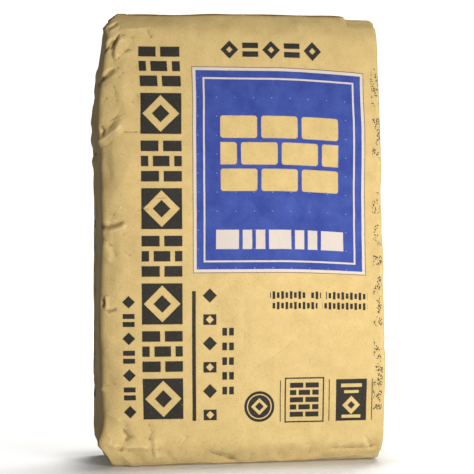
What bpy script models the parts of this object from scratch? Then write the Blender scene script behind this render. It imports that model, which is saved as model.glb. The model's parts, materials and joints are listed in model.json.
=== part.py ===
"""Filled paper cement bag: a pasted valve sack with block-shaped ends.

Units are metres, +Z is up.  The bag stands on its lower block end, with the
printed face towards -Y and the filling valve at the upper -X corner.  The
origin is the middle of the footprint, on the floor.
"""
import math

import bmesh
import bpy
from mathutils import Vector

# ---------------------------------------------------------------- dimensions
BAG_WIDTH = 0.311          # across the printed face, at the widest level
BAG_THICKNESS = 0.126      # front to back, at the widest level
BAG_HEIGHT = 0.480         # floor to the top of the upper cover sheet

SHEET = 0.0005             # thickness of one pasted cover sheet
GAP = 0.0003               # clearance between neighbouring solids

LOWER_PATCH = (0.254, 0.100)     # cover sheet pasted on the lower end
LOWER_PATCH_SHIFT = 0.006        # moved away from the dented lower corner
UPPER_PATCH = (0.235, 0.082)     # cover sheet pasted on the upper end
UPPER_PATCH_SHIFT = -0.0045      # it reaches almost to the valve corner
UPPER_STEP = 0.0025              # the fold beyond its other end lies lower

VALVE_WIDTH = 0.072        # width of the flattened valve sleeve
VALVE_LIP = 0.022          # length of it that shows
VALVE_SHEET = 0.0006       # two plies of sleeve paper pressed together
VALVE_GAP = 0.0009         # slack between the sleeve lip and the sack

SACK_BOTTOM = SHEET + GAP
SACK_TOP = BAG_HEIGHT - SHEET - GAP
SACK_HEIGHT = SACK_TOP - SACK_BOTTOM

# Level (0 = lower end, 1 = upper end), half width on the valve side, half
# width on the other side, half depth.  Fractions of the largest half sizes.
PROFILE = (
    (0.000, 0.950, 0.955, 0.905),
    (0.012, 0.962, 0.968, 0.930),
    (0.045, 0.982, 0.986, 0.970),
    (0.120, 0.992, 0.998, 0.995),
    (0.240, 0.994, 1.000, 1.000),
    (0.380, 0.992, 0.996, 0.992),
    (0.520, 0.986, 0.986, 0.975),
    (0.650, 0.992, 0.976, 0.965),
    (0.755, 1.000, 0.966, 0.950),
    (0.850, 0.975, 0.956, 0.905),
    (0.925, 0.950, 0.946, 0.855),
    (0.965, 0.938, 0.940, 0.820),
    (0.988, 0.928, 0.936, 0.785),
    (1.000, 0.915, 0.928, 0.745),
)
COLUMNS = (-1.0, -0.95, -0.86, -0.5, 0.0, 0.5, 0.81, 0.89, 0.95, 1.0)
ROWS = (-1.0, -0.86, -0.35, 0.35, 0.86, 1.0)


# Knocked-in corners: side (-1 valve side), upper end or not, legs of the
# slanting facet along X and Z.
CORNERS = (
    (-1, True, 0.017, 0.016),
    (-1, False, 0.013, 0.020),
    (1, False, 0.005, 0.007),
    (1, True, 0.003, 0.003),
)


def clear_scene():
    for obj in list(bpy.data.objects):
        bpy.data.objects.remove(obj, do_unlink=True)


def new_collection(name):
    col = bpy.data.collections.new(name)
    bpy.context.scene.collection.children.link(col)
    return col


def material(name, color, roughness):
    mat = bpy.data.materials.new(name)
    mat.use_nodes = True
    shader = mat.node_tree.nodes["Principled BSDF"]
    shader.inputs["Base Color"].default_value = (*color, 1.0)
    shader.inputs["Roughness"].default_value = roughness
    shader.inputs["Metallic"].default_value = 0.0
    mat.diffuse_color = (*color, 1.0)
    return mat


def add_object(name, bm, col, mat, parent):
    mesh = bpy.data.meshes.new(name)
    bm.to_mesh(mesh)
    bm.free()
    mesh.materials.append(mat)
    obj = bpy.data.objects.new(name, mesh)
    col.objects.link(obj)
    obj.parent = parent
    mesh.shade_smooth()
    return obj


def smoothstep(t):
    t = min(max(t, 0.0), 1.0)
    return t * t * (3.0 - 2.0 * t)


def profile(level):
    """Half sizes of the sack at a level between 0 and 1."""
    for low, high in zip(PROFILE, PROFILE[1:]):
        if level <= high[0]:
            t = (level - low[0]) / (high[0] - low[0])
            return [a + (b - a) * t for a, b in zip(low[1:], high[1:])]
    return list(PROFILE[-1][1:])


# ------------------------------------------------------------------ the sack
def sack_cage():
    """Cube cut into columns, rows and levels, then shaped as a filled sack."""
    bm = bmesh.new()
    bmesh.ops.create_cube(bm, size=2.0)
    cuts = [(0, c) for c in COLUMNS[1:-1]] + [(1, r) for r in ROWS[1:-1]]
    cuts += [(2, 2.0 * p[0] - 1.0) for p in PROFILE[1:-1]]
    for axis, value in cuts:
        point = Vector((0, 0, 0))
        point[axis] = value
        normal = Vector((0, 0, 0))
        normal[axis] = 1.0
        bmesh.ops.bisect_plane(bm, geom=bm.verts[:] + bm.edges[:] + bm.faces[:],
                               dist=1e-7, plane_co=point, plane_no=normal)
    for vert in bm.verts:
        u, v, w = vert.co
        level = (w + 1.0) / 2.0
        left, right, depth = profile(level)
        x = u * (left if u < 0 else right) * BAG_WIDTH / 2
        # the faces are crowned: fullest at the middle, slack at the corners
        middle = math.sin(math.pi * min(max(level, 0.0), 1.0)) ** 0.6
        crown = 1.0 - (0.03 + 0.10 * middle) * abs(u) ** 3
        y = v * depth * crown * BAG_THICKNESS / 2
        # the narrow sides bulge a little between front and back
        x *= 1.0 - 0.035 * middle * v * v * abs(u) ** 6
        z = level * SACK_HEIGHT
        z -= UPPER_STEP * smoothstep((u - 0.81) / 0.12) * smoothstep((level - 0.96) / 0.03)
        # corners the paper has been knocked in at: points beyond a slanting
        # line across the corner are moved back onto it
        for side, top, leg_x, leg_z in CORNERS:
            if u * side <= 0:
                continue
            half = (left if side < 0 else right) * BAG_WIDTH / 2
            in_x = (half - abs(x)) / leg_x
            in_z = ((1.0 - level) if top else level) * SACK_HEIGHT / leg_z
            over = max(0.0, 1.0 - in_x - in_z)
            x -= side * over * leg_x / 2
            z += (-1 if top else 1) * over * leg_z / 2
        vert.co = (x, y, z)
    bmesh.ops.recalc_face_normals(bm, faces=bm.faces[:])
    return bm


def evaluated_bounds(obj):
    bpy.context.view_layer.update()
    graph = bpy.context.evaluated_depsgraph_get()
    mesh = obj.evaluated_get(graph).data
    pts = [v.co for v in mesh.vertices]
    low = Vector([min(p[i] for p in pts) for i in range(3)])
    high = Vector([max(p[i] for p in pts) for i in range(3)])
    return low, high


def build_sack(col, parent, mat):
    sack = add_object("filled_sack", sack_cage(), col, mat, parent)
    sub = sack.modifiers.new("soft_form", "SUBSURF")
    sub.levels = 1
    sub.render_levels = 1
    # the smoothed form is brought to the stated outer size
    target_low = Vector((-BAG_WIDTH / 2, -BAG_THICKNESS / 2, SACK_BOTTOM))
    target_high = Vector((BAG_WIDTH / 2, BAG_THICKNESS / 2, SACK_TOP))
    low, high = evaluated_bounds(sack)
    for vert in sack.data.vertices:
        for i in range(3):
            t = (vert.co[i] - low[i]) / (high[i] - low[i])
            vert.co[i] = target_low[i] + t * (target_high[i] - target_low[i])
    sack.data.update()
    return sack


# ---------------------------------------------------------- the cover sheets
def build_patch(name, size, centre, col, parent, mat):
    bm = bmesh.new()
    bmesh.ops.create_cube(bm, size=1.0)
    for vert in bm.verts:
        vert.co.x *= size[0]
        vert.co.y *= size[1]
        vert.co.z *= SHEET
    upright = [e for e in bm.edges
               if abs(e.verts[0].co.z - e.verts[1].co.z) > SHEET / 2]
    bmesh.ops.bevel(bm, geom=upright, offset=0.003, segments=3, profile=0.5,
                    affect='EDGES')
    patch = add_object(name, bm, col, mat, parent)
    patch.location = centre
    patch.data.set_sharp_from_angle(angle=math.radians(40))
    return patch


# ---------------------------------------------------------- the valve sleeve
def build_valve(sack, col, parent, mat):
    """Lip of the flattened sleeve, bent over the knocked-in upper corner."""
    bm = bmesh.new()
    bmesh.ops.create_grid(bm, x_segments=8, y_segments=6, size=0.5)
    bmesh.ops.recalc_face_normals(bm, faces=bm.faces[:])
    inner = UPPER_PATCH_SHIFT - UPPER_PATCH[0] / 2 - 0.0012
    flat = 0.003
    for vert in bm.verts:
        # s runs from the cover sheet's end out to the free edge of the lip
        s = (0.5 - vert.co.x) * VALVE_LIP
        slope = max(0.0, s - flat)
        vert.co = (inner - min(s, flat) - 0.72 * slope,
                   vert.co.y * VALVE_WIDTH,
                   BAG_HEIGHT + 0.004 - 0.69 * slope)
    lip = add_object("valve_sleeve", bm, col, mat, parent)
    wrap = lip.modifiers.new("lie_on_sack", "SHRINKWRAP")
    wrap.target = sack
    wrap.wrap_method = 'NEAREST_SURFACEPOINT'
    wrap.wrap_mode = 'ABOVE_SURFACE'
    wrap.offset = VALVE_GAP
    solid = lip.modifiers.new("paper", "SOLIDIFY")
    solid.thickness = VALVE_SHEET
    solid.offset = 1.0
    return lip


def main():
    clear_scene()
    bag = new_collection("cement_bag")
    root = bpy.data.objects.new("cement_bag_root", None)
    bag.objects.link(root)

    kraft = material("kraft_paper", (0.66, 0.48, 0.27), 0.82)
    cover = material("kraft_cover_sheet", (0.58, 0.42, 0.24), 0.85)
    inner = material("valve_paper", (0.72, 0.60, 0.42), 0.80)

    sack = build_sack(bag, root, kraft)
    build_patch("bottom_cover_patch", LOWER_PATCH,
                (LOWER_PATCH_SHIFT, 0.0, SHEET / 2), bag, root, cover)
    build_patch("top_cover_patch", UPPER_PATCH,
                (UPPER_PATCH_SHIFT, 0.0, BAG_HEIGHT - SHEET / 2),
                bag, root, cover)
    build_valve(sack, bag, root, inner)
    bpy.context.view_layer.update()


main()
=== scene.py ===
"""Looks of the filled paper cement bag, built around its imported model."""
import json
import math

import bpy
import numpy as np
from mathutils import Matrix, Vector
from mathutils.bvhtree import BVHTree
from mathutils.geometry import delaunay_2d_cdt

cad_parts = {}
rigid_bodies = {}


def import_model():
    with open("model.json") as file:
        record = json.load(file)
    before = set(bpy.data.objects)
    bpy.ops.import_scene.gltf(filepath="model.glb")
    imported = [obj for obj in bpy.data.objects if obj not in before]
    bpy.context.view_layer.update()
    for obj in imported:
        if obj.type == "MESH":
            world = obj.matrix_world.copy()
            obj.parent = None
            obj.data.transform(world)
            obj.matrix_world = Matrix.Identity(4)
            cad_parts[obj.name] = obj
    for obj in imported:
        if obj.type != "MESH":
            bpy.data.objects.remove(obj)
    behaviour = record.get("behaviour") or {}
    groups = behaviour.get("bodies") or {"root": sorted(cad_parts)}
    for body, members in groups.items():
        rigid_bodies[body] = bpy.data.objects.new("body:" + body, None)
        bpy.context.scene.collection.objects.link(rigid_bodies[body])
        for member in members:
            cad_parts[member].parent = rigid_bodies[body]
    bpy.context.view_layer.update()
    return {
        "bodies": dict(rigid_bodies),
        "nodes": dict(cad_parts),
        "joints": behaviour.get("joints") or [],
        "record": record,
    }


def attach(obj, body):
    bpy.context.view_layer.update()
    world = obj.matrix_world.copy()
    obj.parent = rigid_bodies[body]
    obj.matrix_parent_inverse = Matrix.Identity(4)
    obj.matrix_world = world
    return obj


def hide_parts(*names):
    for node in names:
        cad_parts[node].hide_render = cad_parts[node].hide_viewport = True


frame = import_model()

MM = 0.001
RNG = np.random.default_rng(20240611)

# ============================================================== camera
CAM_AZ = -10.5           # degrees, seen from the bag's valve side
CAM_DIST = 1.80
CAM_Z = 0.272
CAM_LENS = 129.0
CAM_AIM = (-0.0076, -0.055, 0.2425)


def make_camera():
    cam = bpy.data.cameras.new("camera")
    cam.lens = CAM_LENS
    cam.sensor_width = 36.0
    cam.sensor_fit = 'HORIZONTAL'
    cam.clip_start = 0.05
    cam.clip_end = 60.0
    obj = bpy.data.objects.new("camera", cam)
    bpy.context.scene.collection.objects.link(obj)
    a = math.radians(CAM_AZ)
    aim = Vector(CAM_AIM)
    pos = Vector((aim.x + math.sin(a) * CAM_DIST, aim.y - math.cos(a) * CAM_DIST, CAM_Z))
    obj.location = pos
    obj.rotation_euler = (aim - pos).to_track_quat('-Z', 'Y').to_euler()
    bpy.context.scene.camera = obj
    return obj


camera = make_camera()

# ============================================================== sack form
PERIM = 820.0            # girth of the paper tube, mm
Z_LOW = 0.8              # underside of the paper, above the lower cover sheet
Z_TOP = 479.2
# level z, half width on the valve side, half width on the other side, half
# depth of the faces at their middle, how far they round off towards the valve
# side and the other side, corner radius, mm
FORM = np.array([
    (0.8,   144.5, 151.2, 59.0, 4.5, 2.5, 4.0),
    (12.0,  146.2, 152.4, 59.5, 5.0, 3.0, 4.5),
    (30.0,  147.4, 152.7, 61.0, 6.5, 3.0, 5.0),
    (60.0,  149.4, 152.6, 62.2, 8.0, 3.2, 5.0),
    (115.0, 150.4, 152.8, 62.8, 8.8, 3.4, 5.0),
    (180.0, 150.4, 151.9, 62.8, 9.0, 3.4, 5.0),
    (250.0, 149.8, 150.4, 62.0, 9.0, 3.2, 5.0),
    (310.0, 150.4, 149.2, 61.0, 8.8, 3.0, 5.0),
    (362.0, 152.6, 147.8, 60.0, 8.6, 3.0, 5.0),
    (408.0, 148.4, 146.5, 58.4, 7.5, 2.6, 4.8),
    (443.0, 143.8, 145.8, 56.8, 6.0, 2.2, 4.4),
    (463.0, 141.6, 145.2, 56.0, 4.6, 1.8, 4.0),
    (479.2, 140.4, 144.8, 55.6, 3.0, 1.2, 3.5),
])
SKEW = 1.4               # the valve side runs in towards the back, mm


def form_at(z):
    """Smooth interpolation of FORM (Catmull-Rom through its levels)."""
    z = np.atleast_1d(np.asarray(z, float))
    zs = FORM[:, 0]
    k = np.clip(np.searchsorted(zs, z) - 1, 0, len(zs) - 2)
    t = ((z - zs[k]) / (zs[k + 1] - zs[k])).clip(0, 1)[:, None]
    p = FORM[:, 1:]
    slope = np.empty_like(p)
    slope[1:-1] = (p[2:] - p[:-2]) / (zs[2:] - zs[:-2])[:, None]
    slope[0] = (p[1] - p[0]) / (zs[1] - zs[0])
    slope[-1] = (p[-1] - p[-2]) / (zs[-1] - zs[-2])
    h = (zs[k + 1] - zs[k])[:, None]
    a, b = p[k], p[k + 1]
    m0, m1 = slope[k] * h, slope[k + 1] * h
    return ((2 * t**3 - 3 * t**2 + 1) * a + (t**3 - 2 * t**2 + t) * m0
            + (-2 * t**3 + 3 * t**2) * b + (t**3 - t**2) * m1)


def outline(z, in_x, in_y):
    """Closed outline of one row, from the middle of the front face towards +X:
    points (n, 2).  in_x and in_y move it inwards, for the rows of the ends."""
    al, ar, b, dl, dr, r = form_at(z)[0]
    al, ar, b = al - in_x, ar - in_x, b - in_y
    r = max(r - 0.4 * min(in_x, in_y), 1.2)
    ease = max(0.0, 1.0 - in_y / 34.0)
    dl, dr = dl * ease, dr * ease
    crown_side = 1.9 * max(0.0, 1.0 - in_x / 10.0) * min(1.0, z / 30.0, (Z_TOP + 12.0 - z) / 40.0)
    pts = []

    def arc(cx, cy, a0, a1, n=24):
        t = np.radians(np.linspace(a0, a1, n))
        return np.stack([cx + r * np.cos(t), cy + r * np.sin(t)], 1)

    n = 90
    pts.append(np.stack([np.linspace(0, ar - r, n), np.full(n, -b)], 1))
    pts.append(arc(ar - r, -b + r, -90, 0))
    pts.append(np.stack([np.full(40, ar), np.linspace(-b + r, b - r, 40)], 1))
    pts.append(arc(ar - r, b - r, 0, 90))
    pts.append(np.stack([np.linspace(ar - r, -al + r, 2 * n), np.full(2 * n, b)], 1))
    pts.append(arc(-al + r, b - r, 90, 180))
    pts.append(np.stack([np.full(40, -al), np.linspace(b - r, -b + r, 40)], 1))
    pts.append(arc(-al + r, -b + r, 180, 270))
    pts.append(np.stack([np.linspace(-al + r, 0, n), np.full(n, -b)], 1))
    p = np.concatenate(pts)
    p = p[np.r_[True, np.linalg.norm(np.diff(p, axis=0), axis=1) > 1e-6]]
    x, y = p[:, 0].copy(), p[:, 1].copy()
    half = np.where(x > 0, ar, al)
    t = np.abs(x) / half
    # the faces are full in the middle and round off towards their edges
    drop = np.where(x > 0, dr * (0.45 * t**2 + 0.55 * t**6), dl * (0.25 * t**2 + 0.75 * t**6))
    # along the valve side they turn away more sharply over the last stretch
    turn = 3.6 * ease * min(max((z - 34.0) / 30.0, 0.0), 1.0) * min(max((428.0 - z) / 26.0, 0.0), 1.0)
    drop = drop + np.where(x < 0, turn * ((np.abs(x) - (al - 22.0)) / 22.0).clip(0, 1) ** 2, 0)
    p[:, 1] = y * (b - drop) / b
    p[:, 0] += np.sign(x) * crown_side * (1 - (np.abs(y) / b) ** 2) * t**6
    p[:, 0] += np.where(x < 0, SKEW * (y / b) * t**4, 0)
    return p


def column_positions():
    """Paper coordinate U of the mesh columns, mm: finest on the printed face.
    The row of columns starts and ends at the outer edge of the glued overlap."""
    spans = [(-390.0, -382.0, 2.7), (-382.0, -276.0, 4.2), (-276.0, -262.0, 2.6),
             (-262.0, -160.0, 2.3), (-160.0, -96.0, 1.7), (-96.0, 140.0, 1.95),
             (140.0, 160.0, 2.0), (160.0, 262.0, 2.5), (262.0, 276.0, 2.8),
             (276.0, 426.0, 4.2), (426.0, 429.4, 1.7), (429.4, 430.0, 0.6)]
    out = []
    for a, b, step in spans:
        n = max(1, round((b - a) / step))
        out.append(np.linspace(a, b, n, endpoint=False))
    return np.concatenate(out)


STEP_X = 112.0           # beyond here the upper end lies lower
STEP_Z = 3.0
# The ends are not folded squarely: along the faces their rims lean back (how
# far in, how far from the end's plane, mm); at the short ends they are tight.
TOP_RIM = np.array([(0.0, 36.0), (0.5, 29.0), (1.5, 23.0), (3.0, 18.2), (5.2, 13.6),
                    (7.9, 9.2), (10.7, 5.2), (13.0, 2.0), (14.6, 0.5), (16.5, 0.0)])
LOW_RIM = np.array([(0.0, 26.0), (0.6, 21.5), (1.9, 17.4), (3.8, 13.6), (6.2, 9.8),
                    (9.0, 6.0), (11.6, 2.9), (14.2, 0.9), (17.5, 0.0)])
SHORT_RIM = 5.0          # radius of the rims at the short ends


def rim_row(rim, run):
    """Insets in x and y and distance from the end's plane, at a distance along
    the paper from the start of a rim."""
    along = np.r_[0, np.cumsum(np.linalg.norm(np.diff(rim, axis=0), axis=1))]
    past = max(0.0, run - along[-1])
    in_y = float(np.interp(run, along, rim[:, 0])) + past
    dz = float(np.interp(run, along, rim[:, 1]))
    k = max(0.0, SHORT_RIM - dz)
    in_x = SHORT_RIM - math.sqrt(max(SHORT_RIM**2 - k * k, 0.0)) + past
    return in_x, in_y, dz


def top_row(run):
    in_x, in_y, dz = rim_row(TOP_RIM, run)
    return (Z_TOP - TOP_RIM[0, 1] + run, Z_TOP - dz, in_x, in_y)


def low_row(run):
    in_x, in_y, dz = rim_row(LOW_RIM, run)
    return (Z_LOW + LOW_RIM[0, 1] - run, Z_LOW + dz, in_x, in_y)


def row_positions(coarse=False):
    """Rows as (V, z, in_x, in_y): V runs along the paper, from the middle of
    the lower end, up the body, to the middle of the upper end."""
    z0, z1 = Z_LOW + LOW_RIM[0, 1], Z_TOP - TOP_RIM[0, 1]
    if coarse:
        low, high = np.arange(56, 0, -4.0), np.arange(4.0, 68, 4.0)
        body = np.linspace(z0, z1, 105)
    else:
        low = np.r_[72, 64, 57, 51, 46, 42, 39, 36.5, np.linspace(34.2, 1.8, 19)]
        high = np.r_[np.linspace(1.75, 41.75, 24), np.linspace(43.8, 66.0, 10), 71.0, 76.0]
        body = np.concatenate([np.linspace(z0, 66.0, 22, endpoint=False), np.linspace(66.0, z1, 197)])
    rows = [low_row(float(d)) for d in low]
    rows += [(float(z), float(z), 0.0, 0.0) for z in body]
    rows += [top_row(float(d)) for d in high]
    return rows


# ============================================================== paper relief
def smoothstep(a, b, x):
    t = ((x - a) / (b - a)).clip(0, 1)
    return t * t * (3 - 2 * t)


def around(u):
    """Paper coordinate wrapped to the tube's girth."""
    return (u + PERIM / 2) % PERIM - PERIM / 2


def value_noise(u, v, cell, rng):
    """Smooth noise in -1..1 on a grid of the given cell size."""
    nu = int(round(PERIM / cell[0]))
    gu, gv = (around(u) + PERIM / 2) * nu / PERIM, v / cell[1]
    iu, iv = np.floor(gu).astype(int), np.floor(gv).astype(int)
    fu, fv = gu - iu, gv - iv
    fu, fv = fu**3 * (fu * (fu * 6 - 15) + 10), fv**3 * (fv * (fv * 6 - 15) + 10)
    table = rng.uniform(-1, 1, (nu, 1024))
    a = table[iu % nu, iv % 1024]
    b = table[(iu + 1) % nu, iv % 1024]
    c = table[iu % nu, (iv + 1) % 1024]
    d = table[(iu + 1) % nu, (iv + 1) % 1024]
    return (a * (1 - fu) + b * fu) * (1 - fv) + (c * (1 - fu) + d * fu) * fv


def facets(u, v, spacing, rng, squash=(1.0, 1.0)):
    """Crumpled-paper relief in -1..1: flat facets between random points."""
    su, sv = spacing * squash[0], spacing * squash[1]
    nu, nv = int(PERIM / su), int(660 / sv)
    cu, cv = PERIM / nu, 660 / nv
    jj, ii = np.meshgrid(np.arange(nu), np.arange(nv))
    pu = (jj + rng.uniform(0.08, 0.92, jj.shape)) * cu - 410
    pv = (ii + rng.uniform(0.08, 0.92, ii.shape)) * cv - 80
    ph = rng.uniform(-1, 1, jj.shape)
    pu, pv, ph = pu.ravel(), pv.ravel(), ph.ravel()
    wrap = 3 * cu
    lo, hi = pu < -410 + wrap, pu > 410 - wrap
    pu = np.concatenate([pu, pu[lo] + PERIM, pu[hi] - PERIM])
    pv = np.concatenate([pv, pv[lo], pv[hi]])
    ph = np.concatenate([ph, ph[lo], ph[hi]])
    out = delaunay_2d_cdt([Vector((a, b)) for a, b in zip(pu, pv)], [], [], 0, 1e-6)
    heights = [ph[o[0]] if o else 0.0 for o in out[3]]
    verts = [(p[0], p[1], h) for p, h in zip(out[0], heights)]
    tree = BVHTree.FromPolygons(verts, out[2])
    down = Vector((0, 0, -1))
    res = np.zeros(u.size)
    fu, fv = around(u).ravel(), v.ravel()
    for k in range(fu.size):
        hit = tree.ray_cast(Vector((fu[k], fv[k], 5.0)), down, 10.0)
        res[k] = hit[0].z if hit[0] is not None else 0.0
    return res.reshape(u.shape)


def crease(u, v, points, amp, wl, wr=None, sharp=1.5, taper=0.25):
    """Fold along a polyline of paper points: highest on the line, fading over
    wl to its left and wr to its right, seen along the line."""
    wr = wl if wr is None else wr
    pts = np.array(points, float)
    seg = np.linalg.norm(np.diff(pts, axis=0), axis=1)
    total = seg.sum()
    best = np.full(u.shape, 1e9)
    side = np.zeros(u.shape)
    along = np.zeros(u.shape)
    start = 0.0
    for k in range(len(seg)):
        d = pts[k + 1] - pts[k]
        ru, rv = u - pts[k, 0], v - pts[k, 1]
        t = ((ru * d[0] + rv * d[1]) / seg[k] ** 2).clip(0, 1)
        dist = np.hypot(ru - t * d[0], rv - t * d[1])
        near = dist < best
        best = np.where(near, dist, best)
        side = np.where(near, d[0] * rv - d[1] * ru, side)
        along = np.where(near, (start + t * seg[k]) / total, along)
        start += seg[k]
    w = np.where(side > 0, wl, wr)
    body = (1 - best / w).clip(0, 1) ** sharp
    if taper:
        ends = smoothstep(0, taper, along) * smoothstep(0, taper, 1 - along)
        body = body * np.maximum(ends, 0.12)
    return amp * body


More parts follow.
